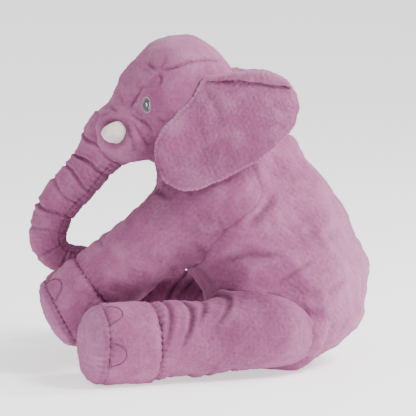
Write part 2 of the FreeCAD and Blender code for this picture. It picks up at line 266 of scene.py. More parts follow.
def signed(tree, points, reach):
    """How far points are outside a closed surface, and which way leads out; reach where they are further."""
    gaps, ways = np.full(len(points), float(reach)), np.zeros((len(points), 3))
    for i, point in enumerate(points):
        hit, normal, _, gap = tree.find_nearest(Vector(point), reach)
        if hit is None:
            continue
        away = Vector(point) - hit
        side = 1 if away.dot(normal) >= 0 else -1
        gaps[i] = side * gap
        ways[i] = away * (side / gap) if gap > 0.05 else normal
    return gaps, ways


def melt(first, second, soft, tuck=9.0):
    """Rounds the corner where two skins meet, and tucks each under the other past the seam between them."""
    trees = tree_of(first), tree_of(second)
    for piece, own, other in ((first, *trees), (second, *trees[::-1])):
        points = points_of(piece)
        gaps, _ = signed(other, points, soft)
        near = np.flatnonzero(np.abs(gaps) < soft * 0.999)
        spots = points[near].copy()
        for _ in range(4):
            own_gap, own_way = signed(own, spots, 2 * soft)
            other_gap, other_way = signed(other, spots, 2 * soft)
            corner = np.clip(1 - np.abs(own_gap - other_gap) / soft, 0, 1)
            field = np.minimum(own_gap, other_gap) - corner ** 2 * soft / 4
            share = np.clip(0.5 + 0.5 * (other_gap - own_gap) / soft, 0, 1)[:, None]
            way = share * own_way + (1 - share) * other_way
            way /= np.maximum(np.linalg.norm(way, axis=1), 1e-6)[:, None]
            spots -= np.clip(field, -6, 6)[:, None] * way
        tucked = fade(-gaps[near], 0, tuck)[:, None]
        points[near] = spots * (1 - tucked) + points[near] * tucked
        set_points(piece, points)
        known = seam_gaps(piece)
        known[near] = np.where(np.abs(gaps[near]) < np.abs(known[near]), gaps[near], known[near])
        attribute = piece.data.attributes.get("seam") or piece.data.attributes.new("seam", "FLOAT", "POINT")
        attribute.data.foreach_set("value", known.astype(np.float32))


def seam_gaps(piece):
    """How far each vertex is from a seam made by melt, in millimetres along the surface, roughly."""
    attribute = piece.data.attributes.get("seam")
    gaps = np.full(len(piece.data.vertices), 99.0, np.float32)
    if attribute is not None:
        attribute.data.foreach_get("value", gaps)
    return gaps.astype(float)


def side_path(tree, side, outline, far=400.0):
    """Points (y, z) seen from one side, laid onto a surface and joined smoothly."""
    hits = [onto(tree, (side * far, y, z), (-side, 0, 0))[0] for y, z in smooth_path(outline, 6)]
    return smooth_path(hits, 3)


# ---------------------------------------------------------------- folds


def nearest_on(path, points):
    """How far points are from a path, and how far along it, as a share, each one's nearest point is."""
    best, where = np.full(len(points), 1e9), np.zeros(len(points))
    for i, point in enumerate(path):
        distance = np.linalg.norm(points - point, axis=1)
        closer = distance < best
        best[closer], where[closer] = distance[closer], i / (len(path) - 1)
    return best, where


class Skin:
    """A cover's vertices while folds are pressed into them. shade is painted shade and light: low in folds
    and high on crests.
    """

    def __init__(self, piece):
        self.piece = piece
        self.points, self.normals = points_of(piece), vectors_of(piece.data.vertex_normals, "vector")
        self.lift, self.shade = np.zeros(len(self.points)), np.zeros(len(self.points))
        gaps = seam_gaps(piece)
        # a groove with painted shade along each seam that melt made
        self.fold(gaps, np.clip(0.2 + 0.4 * waves(self.points, 60, 7), 0, 1), 2.6, 0.8, 0.2)

    def press(self, depth, shade=None):
        # a dent is painted darker and a bump lighter, unless shade is given
        self.lift -= depth
        self.shade -= depth / 6 if shade is None else shade

    def fold(self, distance, strength, width, depth, lip=0.35):
        """A groove where distance is 0, with a soft lip along both sides, and painted shade in the groove."""
        groove = np.exp(-(distance / width) ** 2)
        lips = np.exp(-((np.abs(distance) - 2.0 * width) / (1.1 * width)) ** 2)
        self.press(depth * strength * (groove - lip * lips), strength * groove * min(1.0, depth / 5))

    def crease(self, path, width, depth, lip=0.35, ends=0.25):
        """A groove along a path that fades out over a share of its length at both ends."""
        best, where = nearest_on(path, self.points)
        strength = fade(where, -0.001, ends) * fade(1 - where, -0.001, ends)
        self.fold(best, strength, width, depth, lip)

    def lumps(self, seed, large=1.6, small=0.5):
        """The unevenness of loose stuffing and of pile that was brushed in places."""
        self.press(-large * waves(self.points, 75, seed) - small * waves(self.points, 24, seed + 1), 0)

    def pile(self, seed, size=0.28):
        # small tufts, painted a little lighter where they stand out and darker where they sink
        tuft = waves(self.points, 6.5, seed + 2, 28)
        self.press(-size * tuft, -0.06 * tuft)

    def settle(self, floor=None):
        """Moves the vertices and writes the shade that the materials read."""
        points = self.points + self.normals * self.lift[:, None]
        if floor is not None:
            low = points[:, 2] < floor + 2
            points[low, 2] = floor + 2 * np.exp((points[low, 2] - floor - 2) / 2)
        set_points(self.piece, points)
        attribute = self.piece.data.attributes.new("shade", "FLOAT", "POINT")
        attribute.data.foreach_set("value", np.clip(self.shade, -1, 1).astype(np.float32))


# ---------------------------------------------------------------- cloth


CLOTH = {"vertex_group_mass": "seams", "quality": 5, "mass": 0.3, "tension_stiffness": 15,
         "compression_stiffness": 15, "bending_stiffness": 0.6, "use_pressure": True,
         "uniform_pressure_force": 4.0}
FRAMES = 20
LIMB_CAP, HEAD_CAP = 5, 3       # millimetres that the cloth may move, on the torso and limbs, and on the head


def inflate(pieces):
    """Swells closed covers as cloth held along their seams. pieces maps a piece to (held weights, cap)."""
    scene = bpy.context.scene
    rest = {}
    for piece, (held, _) in pieces.items():
        rest[piece] = points_of(piece)
        group = piece.vertex_groups.new(name="seams")
        for i, weight in enumerate(held):
            if weight > 0.01:
                group.add([i], float(weight), "REPLACE")
        cloth = piece.modifiers.new("cloth", "CLOTH")
        for name, value in CLOTH.items():
            setattr(cloth.settings, name, value)
        cloth.settings.effector_weights.gravity = 0
        cloth.collision_settings.use_collision = False
        cloth.point_cache.frame_start = 1
        cloth.point_cache.frame_end = FRAMES
    for number in range(1, FRAMES + 1):
        scene.frame_set(number)
    for piece, (_, cap) in pieces.items():
        baked(piece)
        piece.vertex_groups.clear()
        move = points_of(piece) - rest[piece]
        length = np.linalg.norm(move, axis=1)
        limit = cap * np.tanh(length / cap) / np.maximum(length, 1e-6)
        set_points(piece, rest[piece] + move * limit[:, None])
    scene.frame_set(1)


# ---------------------------------------------------------------- materials


def set_inputs(node, inputs):
    for key, value in inputs.items():
        node.inputs[key].default_value = value


def node_of(tree, kind, inputs=None, **settings):
    node = tree.nodes.new(kind)
    for key, value in settings.items():
        setattr(node, key, value)
    set_inputs(node, inputs or {})
    return node


def noise(tree, coordinates, scale, detail=3.0, roughness=0.6, distortion=0.0):
    node = node_of(tree, "ShaderNodeTexNoise",
                   {"Scale": scale, "Detail": detail, "Roughness": roughness, "Distortion": distortion})
    tree.links.new(coordinates, node.inputs["Vector"])
    return node.outputs["Fac"]


def mixed(tree, factor, low, high):
    """A colour between two colours, or between a colour and another node's colour."""
    node = node_of(tree, "ShaderNodeMix", data_type="RGBA")
    tree.links.new(factor, node.inputs["Factor"])
    for socket, value in ((node.inputs["A"], low), (node.inputs["B"], high)):
        if isinstance(value, tuple):
            socket.default_value = (*value, 1)
        else:
            tree.links.new(value, socket)
    return node.outputs["Result"]


def ranged(tree, value, low, high, to_low=0.0, to_high=1.0):
    node = node_of(tree, "ShaderNodeMapRange",
                   {"From Min": low, "From Max": high, "To Min": to_low, "To Max": to_high})
    tree.links.new(value, node.inputs["Value"])
    return node.outputs["Result"]


def bumped(tree, height, distance, strength=1.0, under=None):
    node = node_of(tree, "ShaderNodeBump", {"Strength": strength, "Distance": distance * MM})
    tree.links.new(height, node.inputs["Height"])
    if under is not None:
        tree.links.new(under, node.inputs["Normal"])
    return node.outputs["Normal"]


def blank_material(name):
    material = bpy.data.materials.new(name)
    material.use_nodes = True
    tree = material.node_tree
    shader = tree.nodes["Principled BSDF"]
    coordinates = node_of(tree, "ShaderNodeTexCoord").outputs["Object"]
    return material, tree, shader, coordinates


def darker(share, colour):
    return tuple(share * c for c in colour)


def fold_shade(tree):
    """What Skin.settle wrote as painted shade and light: low in folds and high on crests."""
    return node_of(tree, "ShaderNodeAttribute", attribute_name="shade").outputs["Fac"]


def dress(tree, shader, colour, normal, inputs):
    tree.links.new(colour, shader.inputs["Base Color"])
    tree.links.new(normal, shader.inputs["Normal"])
    set_inputs(shader, inputs)


def plush(name, middle, dark, light, sheen=0.5, pile=1.0):
    """Short pile: patches brushed lighter and darker, small tufts, painted shade in folds, painted light on
    crests and lit parts, and a soft sheen.
    """
    material, tree, shader, place = blank_material(name)
    patches = noise(tree, place, 11, 2, 0.5, 0.4)
    streaks = noise(tree, place, 30, 4, 0.6, 0.5)
    tufts = noise(tree, place, 420, 2, 0.7)
    colour = mixed(tree, ranged(tree, patches, 0.34, 0.68, 0.25, 1.0), dark, middle)
    colour = mixed(tree, ranged(tree, streaks, 0.46, 0.80, 0, 0.34), colour, light)
    colour = mixed(tree, ranged(tree, tufts, 0.38, 0.60, 0.22, 0.0), colour, darker(0.5, dark))
    shade = fold_shade(tree)
    # painted shade where the skin's shade is low (folds, seams, leg roots, the low ear) and painted light
    # where it is high (crests, the back, the crown, the ear rims)
    colour = mixed(tree, ranged(tree, shade, -0.05, -0.75, 0, 0.72), colour, darker(0.35, dark))
    colour = mixed(tree, ranged(tree, shade, 0.0, 0.5, 0, 0.35), colour, light)
    normal = bumped(tree, streaks, 2.0 * pile, 0.5)
    normal = bumped(tree, tufts, 1.6 * pile, 0.8, normal)
    normal = bumped(tree, noise(tree, place, 1100, 1, 0.5), 0.7 * pile, 0.8, normal)
    dress(tree, shader, colour, normal, {"Roughness": 0.95, "Specular IOR Level": 0.15, "Sheen Weight": sheen,
                                         "Sheen Roughness": 0.45, "Sheen Tint": (*light, 1)})
    return material


def felt(name, colour, stain_and_fold_shade):
    """Matted fibre with soft stains, a fine fuzz, and painted shade in its folds."""
    material, tree, shader, place = blank_material(name)
    fibres = noise(tree, place, 600, 4, 0.7, 2.0)
    base = mixed(tree, ranged(tree, noise(tree, place, 60, 3), 0.42, 0.68), colour, stain_and_fold_shade)
    base = mixed(tree, ranged(tree, fibres, 0.35, 0.6, 0.25, 0), base, darker(0.6, stain_and_fold_shade))
    shade = fold_shade(tree)
    # painted shade in the folds, from the skin's shade
    base = mixed(tree, ranged(tree, shade, -0.05, -0.8, 0, 0.7), base, darker(0.45, stain_and_fold_shade))
    dress(tree, shader, base, bumped(tree, fibres, 0.8, 0.7), {"Roughness": 0.92, "Sheen Weight": 0.3})
    return material


def thread(name, colour, dark, roughness=0.45):
    """Satin stitch: fine parallel threads that run up and down."""
    material, tree, shader, place = blank_material(name)
    rows = node_of(tree, "ShaderNodeTexWave", {"Scale": 330.0, "Distortion": 0.8, "Detail": 1.0},
                   bands_direction="Y")
    tree.links.new(place, rows.inputs["Vector"])
    base = mixed(tree, ranged(tree, rows.outputs["Fac"], 0.1, 0.7), dark, colour)
    base = mixed(tree, ranged(tree, noise(tree, place, 250, 2), 0.4, 0.65, 0, 0.4), base, dark)
    normal = bumped(tree, rows.outputs["Fac"], 0.35, 0.8)
    dress(tree, shader, base, normal, {"Roughness": roughness, "Sheen Weight": 0.2})
    return material


LILAC = plush("lilac_plush", (0.335, 0.104, 0.225), (0.245, 0.064, 0.155), (0.54, 0.27, 0.41), 0.55)
SOLE = plush("sole_plush", (0.375, 0.13, 0.265), (0.29, 0.09, 0.195), (0.54, 0.27, 0.43), 0.42)
NAIL = plush("toenail_felt", (0.31, 0.092, 0.205), (0.235, 0.06, 0.15), (0.44, 0.19, 0.33), 0.25, 0.6)
TUSK = felt("tusk_felt", (0.78, 0.70, 0.64), (0.62, 0.52, 0.47))
EYE_DARK = thread("eye_iris_thread", (0.09, 0.09, 0.11), (0.02, 0.02, 0.028), 0.35)
EYE_PALE = thread("eye_rim_thread", (0.46, 0.33, 0.42), (0.28, 0.17, 0.25))
EYE_GLINT = thread("eye_glint_thread", (0.86, 0.86, 0.88), (0.62, 0.62, 0.66))
# the toenail stitches are real, and their dark thread is also painted shade for the groove round each nail
STITCH_AND_GROOVE_SHADE = thread("seam_thread", (0.17, 0.055, 0.11), (0.09, 0.03, 0.06), 0.7)


def finish_piece(piece, material, slot, *nodes):
    """Smooth shading, the material, and the CAD nodes that the piece stands for."""
    piece.data.materials.clear()
    piece.data.materials.append(material)
    piece.data.shade_smooth()
    if nodes:
        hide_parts(*nodes)


# ---------------------------------------------------------------- legs

SOLE_BULGE = 25.0
HIP_LIFT = 11.0         # how far the underside of a hind leg rises off the floor at the hip
SOLE_TILT = {"front": 0.17, "hind": 0.03}    # how far each sole leans under its foot, as a slope
NAIL_HALF = 17.0
NAIL_ANGLES = {"front": (-42, 0, 42), "hind": (-28, 34, 96)}   # degrees outwards from the foot's upper side


class Leg:
    """One leg's frame and sizes, from its joint and its foot's place in the frame."""

    def __init__(self, kind, side, root, ankle, foot, length, foot_long):
        self.kind, self.side, self.name = kind, side, f"{kind}_leg_{SIDE_NAME[side]}"
        self.root, self.ankle, self.foot, self.length = root, ankle, foot, length
        self.ankle_at = length - foot_long
        joint = "shoulder_swing_" if kind == "front" else "hip_splay_"
        self.pivot = seam_centre(joint + SIDE_NAME[side])
        along = unit(box_centre(f"{kind}_foot_{SIDE_NAME[side]}_cover") - self.pivot)
        self.place = Place(self.pivot, along, (0, 0, 1))

    def along_and_angle(self, points):
        local = self.place.into(points)
        return local[:, 2], np.arctan2(local[:, 1], local[:, 0])

    def cover(self):
        """From a round end inside the torso to the ankle seam, where it is drawn in."""
        r, a, end = self.root, self.ankle, self.ankle_at
        profile = [(-0.80 * r, 0), (-0.62 * r, 0.52 * r), (-0.25 * r, 0.86 * r), (0.15 * r, 0.98 * r),
                   (0.6 * r, r), (0.5 * end, 0.5 * (r + a)), (end - 22, a + 1), (end - 9, a + 0.5),
                   (end - 3, a - 1.5), (end + 1, a - 6), (end + 3, a - 13), (end + 4, 0.5 * a), (end + 4, 0)]
        return lathe(profile, self.place)

    def foot_cover(self):
        """From the ankle seam, puffed out, to the sole's seam."""
        f, start, end = self.foot, self.ankle_at, self.length
        a = self.ankle
        profile = [(start - 5, 0), (start - 5, 0.5 * a), (start - 5, a - 13), (start - 3, a - 6),
                   (start + 0.5, a - 1), (start + 8, a + 3), (start + 0.38 * (end - start), f + 0.5),
                   (end - 18, f + 1), (end - 6, f), (end - 1.5, f - 2), (end + 1.5, f - 7), (end + 2, f - 14),
                   (end + 2, 0.5 * f), (end + 2, 0)]
        return lathe(profile, self.place)

    def sole(self):
        """A round panel that bulges out of the foot."""
        f, end = self.foot, self.length
        profile = [(end - 5, 0), (end - 5, 0.5 * f), (end - 5, f - 13), (end - 3, f - 7), (end + 0.5, f - 2),
                   (end + 5, f - 1.5), (end + 12, f - 5.5), (end + 19, f - 14), (end + 24, f - 28),
                   (end + SOLE_BULGE, 0.3 * f), (end + SOLE_BULGE + 1, 0)]
        return lathe(profile, self.place)


# radius at the root, the ankle and the foot, length to the sole's seam, and the foot's own length
LEG_SIZES = {"front": (55, 53, 56, 317, 67), "hind": (58, 56, 61, 286, 83)}
LEGS = [Leg(kind, side, *sizes) for kind, sizes in LEG_SIZES.items() for side in (LEFT, RIGHT)]


def lean_under(leg, points):
    """Tilts the end of a foot, so that its upper side is shorter, and lifts the underside of a hip."""
    local = leg.place.into(points)
    up = leg.place.into(leg.pivot + (0, 0, 1))
    up[2] = 0
    height = local[:, :2] @ unit(up)[:2]
    share = fade(local[:, 2], leg.ankle_at, leg.length)
    local[:, 2] -= SOLE_TILT[leg.kind] * share * (height + 0.25 * leg.foot)
    leaned = leg.place.out(local)
    if leg.kind == "hind":
        leaned[:, 2] += HIP_LIFT * (1 - fade(local[:, 2], -10, 190)) * (1 - fade(height, -40, 40))
    return leaned


def held_near(points, place, seams, width=9):
    """1 on a leg's seams and 0 a little way from them, for the cloth to be held by."""
    along = place.into(points)[:, 2]
    held = np.zeros(len(points))
    for seam in seams:
        held = np.maximum(held, 1 - fade(np.abs(along - seam), width * 0.4, width))
    return held


def press_leg(leg, skin, seed):
    """Folds along the leg, painted shade near its root, the gathers of its ankle seam and its long seam."""
    along, angle = leg.along_and_angle(skin.points)
    rng = np.random.default_rng(seed)
    if leg.kind == "hind":
        folds = [(0.90, 18, 1.7, 3.5), (0.74, 26, 1.5, 4.5), (0.60, 34, 1.4, 3.5), (0.42, 44, 1.2, 4.0)]
        middle = -0.2
    else:
        folds = [(0.16, 10, 1.5, 3.5), (0.34, -12, 1.1, 3.0), (0.56, 8, 1.0, 2.0), (0.80, 6, 1.3, 2.0)]
        middle = 0.2
    for share, lean, reach, depth in folds:
        centre = middle + rng.uniform(-0.3, 0.3)
        turn = wrap(angle - centre)
        line = share * leg.ankle_at + lean * (np.abs(turn) / reach) ** 1.6 + 2 * np.sin(3 * turn + seed)
        strength = 1 - fade(np.abs(turn), 0.35 * reach, reach)
        skin.fold(along - line, strength, 4.5, depth)
        under = wrap(angle - centre - math.pi)
        line = share * leg.ankle_at - 0.3 * lean * (np.abs(under) / reach) ** 1.4
        skin.fold(along - line, 0.6 * (1 - fade(np.abs(under), 0.2 * reach, 0.8 * reach)), 5, depth)
    skin.press(0, 0.34 * np.exp(-((along - 75) / 75) ** 2))     # painted shade near the root, where the leg meets the body
    near_ankle = np.exp(-((along - leg.ankle_at) / 13) ** 2)
    skin.press(1.1 * near_ankle * np.sin(angle * 34 + 2 * np.sin(3 * angle + seed)), 0)
    skin.fold(wrap(angle - math.pi) * leg.root, fade(along, 20, 60), 2.2, 1.6, 0.5)


def press_foot(leg, skin, seed):
    """The gathers at a foot's two seams, and a fold across its middle."""
    along, angle = leg.along_and_angle(skin.points)
    for seam, count in ((leg.ankle_at, 34), (leg.length, 38)):
        gathers = np.exp(-((along - seam) / 11) ** 2)
        skin.press(0.9 * gathers * np.sin(angle * count + 2 * np.sin(2 * angle + seed)), 0)
        # painted shade along each seam
        skin.press(0, 0.32 * np.exp(-((along - seam) / 2.6) ** 2))
    middle = 0.5 * (leg.ankle_at + leg.length)
    turn = wrap(angle - 1.2)
    skin.fold(along - middle - 8 * np.sin(turn * 2 + seed), 1 - fade(np.abs(turn), 0.3, 1.2), 6, 1.8)


def press_sole(leg, skin, seed):
    """The gathers round a sole's rim."""
    local = leg.place.into(skin.points)
    radius, angle = np.hypot(local[:, 0], local[:, 1]), np.arctan2(local[:, 1], local[:, 0])
    gathers = fade(radius, leg.foot - 18, leg.foot - 4)
    skin.press(0.9 * gathers * np.sin(angle * 38 + 2 * np.sin(2 * angle + seed)), 0)
    # painted shade round the rim's seam
    skin.press(0, 0.35 * fade(radius, leg.foot - 5, leg.foot - 2.5))


def build_legs():
    """Makes every leg's cover, foot and sole, and returns them by leg, with the seam weights and cap that
    inflate later swells them by.
    """
    made, clothes = {}, {}
    for leg in LEGS:
        parts = {}
        for part, build, seams in (("leg", leg.cover, [leg.ankle_at, -0.3 * leg.root]),
                                   ("foot", leg.foot_cover, [leg.ankle_at, leg.length]),
                                   ("sole", leg.sole, [leg.length])):
            label = leg.name if part == "leg" else f"{leg.kind}_{part}_{SIDE_NAME[leg.side]}"
            points, faces = build()
            piece = make_piece(label + "_skin", points, faces)
            parts[part] = piece
            clothes[piece] = (held_near(points_of(piece), leg.place, seams), LIMB_CAP)
        made[leg.name] = parts
    return made, clothes


def patch(name, tree, place, outline, thick, rings=7, back=2.5):
    """A thin sewn-on patch: outline(angle) gives its edge in a place whose z leads out of the surface."""
    angles = np.linspace(0, 2 * math.pi, 56, endpoint=False)
    edge = np.array([outline(angle) for angle in angles])
    top, bottom = [], []
    for ring in range(rings + 1):
        share = 1 - (ring / (rings + 1)) ** 1.6
        lift = thick * (1 - share ** 5)
        for x, y in edge * share:
            hit, _ = onto(tree, place.out((x, y, 60)), -place.axes[2])
            top.append(hit + place.axes[2] * lift)
            bottom.append(hit - place.axes[2] * back)
    count = len(angles)
    points = np.array(bottom[:count] + top)
    hit, _ = onto(tree, place.out((0, 0, 60)), -place.axes[2])
    poles = np.array([np.array(bottom[:count]).mean(axis=0) - place.axes[2], hit + place.axes[2] * thick])
    return make_piece(name, np.vstack([points, poles]), ring_faces(rings + 2, count))


def stitches(name, path, normals, long=3.2, thick=0.55, every=4.6):
    """Short stitches, each a small rounded bar, along a path that lies on a surface."""
    points, faces = [], []
    length = np.concatenate([[0], np.cumsum(np.linalg.norm(np.diff(path, axis=0), axis=1))])
    for at in np.arange(every / 2, length[-1], every):
        centre, normal = [np.array([np.interp(at, length, column) for column in values.T])
                          for values in (path, normals)]
        ahead = np.array([np.interp(min(at + 1, length[-1]), length, column) for column in path.T]) - centre
        bar = Place(centre + unit(normal) * thick * 0.4, unit(ahead), normal)
        profile = [(-long / 2, 0), (-long * 0.4, 0.8 * thick), (0, thick), (long * 0.4, 0.8 * thick),
                   (long / 2, 0)]
        bar_points, bar_faces = lathe(profile, bar, step=long / 6, around=8)
        faces += [tuple(i + len(points) for i in face) for face in bar_faces]
        points += bar_points.tolist()
    return make_piece(name, np.array(points), faces)


def toenail_outline(angle):
    """A half disc: a straight side on the sole's seam and a round side up the foot."""
    across, up = math.cos(angle), math.sin(angle)
    return np.array([NAIL_HALF * across, NAIL_HALF * (1.3 * up - 0.5 if up > 0 else 0.12 * up - 0.5)])


def build_toenails(leg, foot):
    """Three patches beside the sole's seam, each with dark stitches all round it whose darkness is also
    painted shade for the groove round the nail.
    """
    tree = tree_of(foot)
    made = []
    side = SIDE_NAME[leg.side]
    for number, degrees in enumerate(NAIL_ANGLES[leg.kind]):
        angle = math.radians(degrees)
        out = leg.place.axes[0] * math.cos(angle) - leg.place.axes[1] * math.sin(angle) * leg.side
        along = leg.place.axes[2]
        middle = leg.pivot + along * (leg.length - 5 - NAIL_HALF * 0.35) + out * leg.foot
        middle = lean_under(leg, middle[None])[0]
        name = f"{leg.kind}_toenail_{side}_{number}"
        place = Place(middle, out, np.cross(out, along))
        nail = patch(name, tree, place, toenail_outline, 1.8)
        arc = []
        for turn in np.linspace(0.0, 2 * math.pi, 90):
            x, y = toenail_outline(turn) * 1.06
            arc.append(onto(tree, place.out((x, y, 60)), -out))
        arc_points, arc_normals = (np.array(values) for values in zip(*arc))
        thread_piece = stitches(name + "_stitches", arc_points, arc_normals, 3.4, 1.0, 3.9)
        made.append((nail, thread_piece))
    return made


# ---------------------------------------------------------------- torso

# height, front, back, half width: level slices from the seat to the top that is hidden in the head
TORSO = [
    (0, -40, 6, 26), (0, -62, 18, 42), (8, -84, 40, 68), (22, -99, 62, 92), (45, -112, 92, 114),
    (75, -121, 113, 130), (110, -132, 122, 134), (145, -152, 121, 133), (180, -164, 110, 128),
    (215, -175, 95, 120), (250, -188, 77, 110), (285, -200, 50, 99), (315, -197, 26, 88), (342, -180, 2, 74),
    (365, -142, -28, 54), (378, -118, -60, 28),
]


# the creases on each side: (y, z) along them, width and depth
TORSO_CREASES = [
    ([(-28, 140), (10, 160), (42, 178)], 4.0, 1.8),
    ([(-108, 172), (-60, 186), (-3, 184)], 7, 2.6),
    ([(54, 124), (85, 142)], 6, 1.5),
    ([(-92, 228), (-66, 256), (-44, 290)], 6, 4.0),
    ([(-70, 222), (-42, 248), (-16, 282)], 7, 2.6),
    ([(-30, 118), (20, 102), (62, 92)], 9, 3.0),
    ([(10, 218), (48, 208), (84, 214)], 9, 1.4),
    ([(-20, 150), (16, 134), (60, 120)], 11, 1.8),
]
BACK_SEAM = [(0, 30, 318), (0, 80, 250), (0, 110, 180), (0, 122, 110), (0, 98, 45), (0, 60, 8)]
BELLY_SEAM = [(0, -60, 2), (0, -112, 45), (0, -122, 110), (0, -138, 180), (0, -172, 250)]


def torso_mesh():
    """Level ovals from the seat to the top, closed by a pole at each end."""
    line = smooth_path(TORSO, STEP)
    around = 196
    angles = round_angles(around)
    rings = []
    for height, front, back, half in line:
        middle, deep = (front + back) / 2, (back - front) / 2
        rings.append(np.column_stack([half * np.sin(angles), middle - deep * np.cos(angles),
                                      np.full(around, max(height, 0.6))]))
    first, last = rings[0].mean(axis=0), rings[-1].mean(axis=0) + (0, 0, 1)
    return np.vstack(rings + [first, last]), ring_faces(len(rings), around)


def press_torso(piece):
    """Folds above the hips, under the arms and on the flanks, and the seams down the back and belly."""
    skin = Skin(piece)
    tree = tree_of(piece)
    skin.lumps(11, 2.2, 0.7)
    for side in (LEFT, RIGHT):
        for outline, width, depth in TORSO_CREASES:
            skin.crease(side_path(tree, side, outline), width, depth)
    for seam in (BACK_SEAM, BELLY_SEAM):
        skin.crease(smooth_path(seam, 3), 2.6, 2.2, lip=0.6, ends=0.03)
    skin.press(0, -0.4 * fade(skin.points[:, 1], 20, 100))      # painted light on the back
    skin.pile(12)
    skin.settle(floor=0.4)


# ---------------------------------------------------------------- head

HEAD_CENTRE = np.array([0, -186, 398.0])
SKULL = ((0, -165, 408), (93, 86, 97))
MUZZLE = ((0, -238, 366), (62, 46, 47))
TUSK_BASE = {side: np.array([side * 49.0, -241, 364.5]) for side in (LEFT, RIGHT)}
TUSK_LONG, TUSK_RADIUS, TUSK_SPLAY = 51.0, 18.0, math.radians(32)
EYE = (-216, 407)               # y and z of its middle
EYE_HALF = (8.0, 12.5)          # half its width and height


# the creases on each side: (y, z) along them, width, depth, and the share that fades out at each end
HEAD_CREASES = [
    ([(-199, 459), (-177, 463), (-150, 472), (-125, 474), (-98, 470)], 2.8, 3.6, 0.1),
    ([(-199, 459), (-207, 463), (-216, 470)], 2.4, 2.8, 0.3),
    ([(-199, 459), (-194, 447), (-200, 433)], 2.4, 2.6, 0.3),
    ([(-199, 460), (-190, 470), (-186, 480)], 2.4, 1.8, 0.4),
    ([(-219, 440), (-226, 428), (-235, 412), (-244, 397)], 2.3, 3.0, 0.25),
    ([(-244, 393), (-228, 385), (-214, 376), (-203, 363)], 2.4, 2.8, 0.2),
    ([(-243, 390), (-232, 374), (-222, 358), (-209, 338)], 2.4, 3.2, 0.2),
    ([(-246, 386), (-241, 366), (-236, 350), (-233, 334)], 2.4, 2.8, 0.2),
    ([(-201, 390), (-192, 386), (-184, 381)], 2.3, 2.0, 0.3),
    ([(-273, 403), (-262, 394), (-246, 393)], 2.3, 2.6, 0.3),
    ([(-292, 383), (-284, 386), (-272, 390), (-262, 398)], 2.3, 2.6, 0.3),
    ([(-258, 420), (-252, 412), (-250, 403)], 2.3, 2.0, 0.4),
    ([(-280, 372), (-272, 378), (-262, 381)], 2.3, 2.2, 0.3),
]
CROWN_SEAM = [(0, -262, 404), (0, -232, 462), (0, -170, 506), (0, -110, 478), (0, -84, 420)]


def head_mesh():
    parts = [SKULL, MUZZLE, ((0, -262, 354), (44, 36, 38)), ((0, -232, 405), (44, 30, 40))]
    for side in (LEFT, RIGHT):
        parts.append(((side * 40, -236, 355), (32, 31, 34)))
    return blob(parts, HEAD_CENTRE, 5, 9.0)


def press_head(piece):
    """The crown fold with its pucker, brow and cheek creases, the ring round each tusk, and the seam."""
    skin = Skin(piece)
    tree = tree_of(piece)
    skin.lumps(21, 1.2, 0.5)
    for side in (LEFT, RIGHT):
        for outline, width, depth, ends in HEAD_CREASES:
            skin.crease(side_path(tree, side, outline), width, depth, ends=ends)
        axis = tusk_axis(side)
        away = skin.points - TUSK_BASE[side]
        across = np.linalg.norm(away - np.outer(away @ axis, axis), axis=1)
        near = fade(away @ axis, -25, 0)
        # a puffed cheek round each tusk, the skin at and ahead of the tusk's base painted a little lighter,
        # and a ring groove at the base with painted shade in it
        skin.press(-5.0 * near * np.exp(-((across - 27) / 7) ** 2), -0.1 * near)
        ring = near * np.exp(-((across - 18) / 4) ** 2)
        skin.press(2.0 * ring, 0.6 * ring)
    skin.crease(smooth_path(CROWN_SEAM, 3), 2.4, 1.8, lip=0.6, ends=0.05)
    # painted light on the crown of the head
    skin.press(0, -0.25 * fade(skin.points[:, 2], 440, 490))
    skin.pile(22)
    skin.settle()


def tusk_axis(side):
    return unit((side * math.sin(TUSK_SPLAY), -math.cos(TUSK_SPLAY), -0.05))


def build_tusk(side):
    """A blunt stuffed cone with a seam low on one side and three shallow folds."""
    place = Place(TUSK_BASE[side], tusk_axis(side), (0, 0, 1))
    r, tip = TUSK_RADIUS, TUSK_LONG
    profile = [(-9, 0), (-9, 0.6 * r), (-4, 0.96 * r), (6, r), (0.42 * tip, 0.96 * r), (0.66 * tip, 0.83 * r),
               (0.86 * tip, 0.56 * r), (0.96 * tip, 0.3 * r), (tip, 0)]
    piece = make_piece(f"tusk_{SIDE_NAME[side]}", *lathe(profile, place, 2.6))
    subdivide(piece)
    skin = Skin(piece)
    local = place.into(skin.points)
    angle = np.arctan2(local[:, 1], local[:, 0])
    inside_ends = fade(local[:, 2], 0, 12) * fade(tip - local[:, 2], 2, 14)
    skin.fold(wrap(angle - math.pi * 0.82) * r * 0.8, inside_ends, 1.5, 1.3)
    for at, depth in ((9, 1.4), (19, 0.8), (31, 0.7)):
        turn = wrap(angle - 0.9 - 0.06 * at)
        skin.fold(local[:, 2] - at - 3 * np.cos(turn), 1 - fade(np.abs(turn), 0.5, 1.7), 2.2, depth)
    skin.lumps(31 + side, 0.5, 0.4)
    skin.pile(33 + side, 0.16)
    skin.settle()
    return piece


